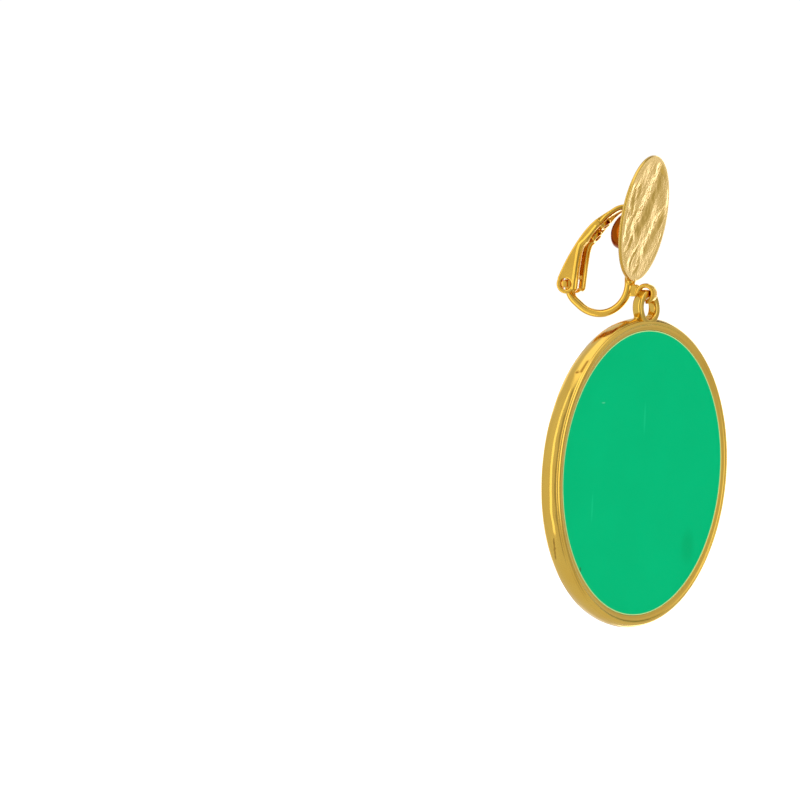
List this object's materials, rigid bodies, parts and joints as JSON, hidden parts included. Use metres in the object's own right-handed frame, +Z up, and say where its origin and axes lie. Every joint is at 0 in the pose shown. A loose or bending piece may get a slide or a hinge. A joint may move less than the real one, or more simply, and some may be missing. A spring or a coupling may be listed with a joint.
{
  "type": "clip-on earring",
  "caption": "Long clip-on drop earring: a round hammered ear disc with a hinged lever clip behind it, and a large flat enamelled disc hanging from a curled hook by a loop.",
  "frame": {"origin": "where the ear lobe is held, between the pad behind the ear disc and the lever's eyelets", "axes": "+Z up as worn, -Y the way the ear disc faces, X along the clip's hinge"},
  "size_m": [0.05, 0.0205, 0.0774],
  "materials": {
    "satin_gold_plate": "gold-plated brass, hammered and satin on the ear disc, polished on the pad, arm and hook",
    "polished_gold_plate": "polished gold plate with fine casting waves",
    "green_enamel": "flat glossy cold enamel, an opaque green resin"
  },
  "bodies": {
    "clip_frame": {"clip_frame": "satin_gold_plate"},
    "clip_lever": {"clip_lever": "polished_gold_plate"},
    "drop": {"drop_frame": "polished_gold_plate", "enamel_inlay": "green_enamel"}
  },
  "joints": [
    {"name": "lever_hinge", "type": "hinge", "parent": "clip_frame", "child": "clip_lever", "pos_m": [0, 0.0073, -0.0083], "axis": [-1, 0, 0], "range_deg": [0, 80]},
    {"name": "drop_swing", "type": "hinge", "parent": "clip_frame", "child": "drop", "pos_m": [0, -0.00595, -0.00982], "axis": [0.9724, -0.2334, 0], "range_deg": [-85, 22]}
  ]
}
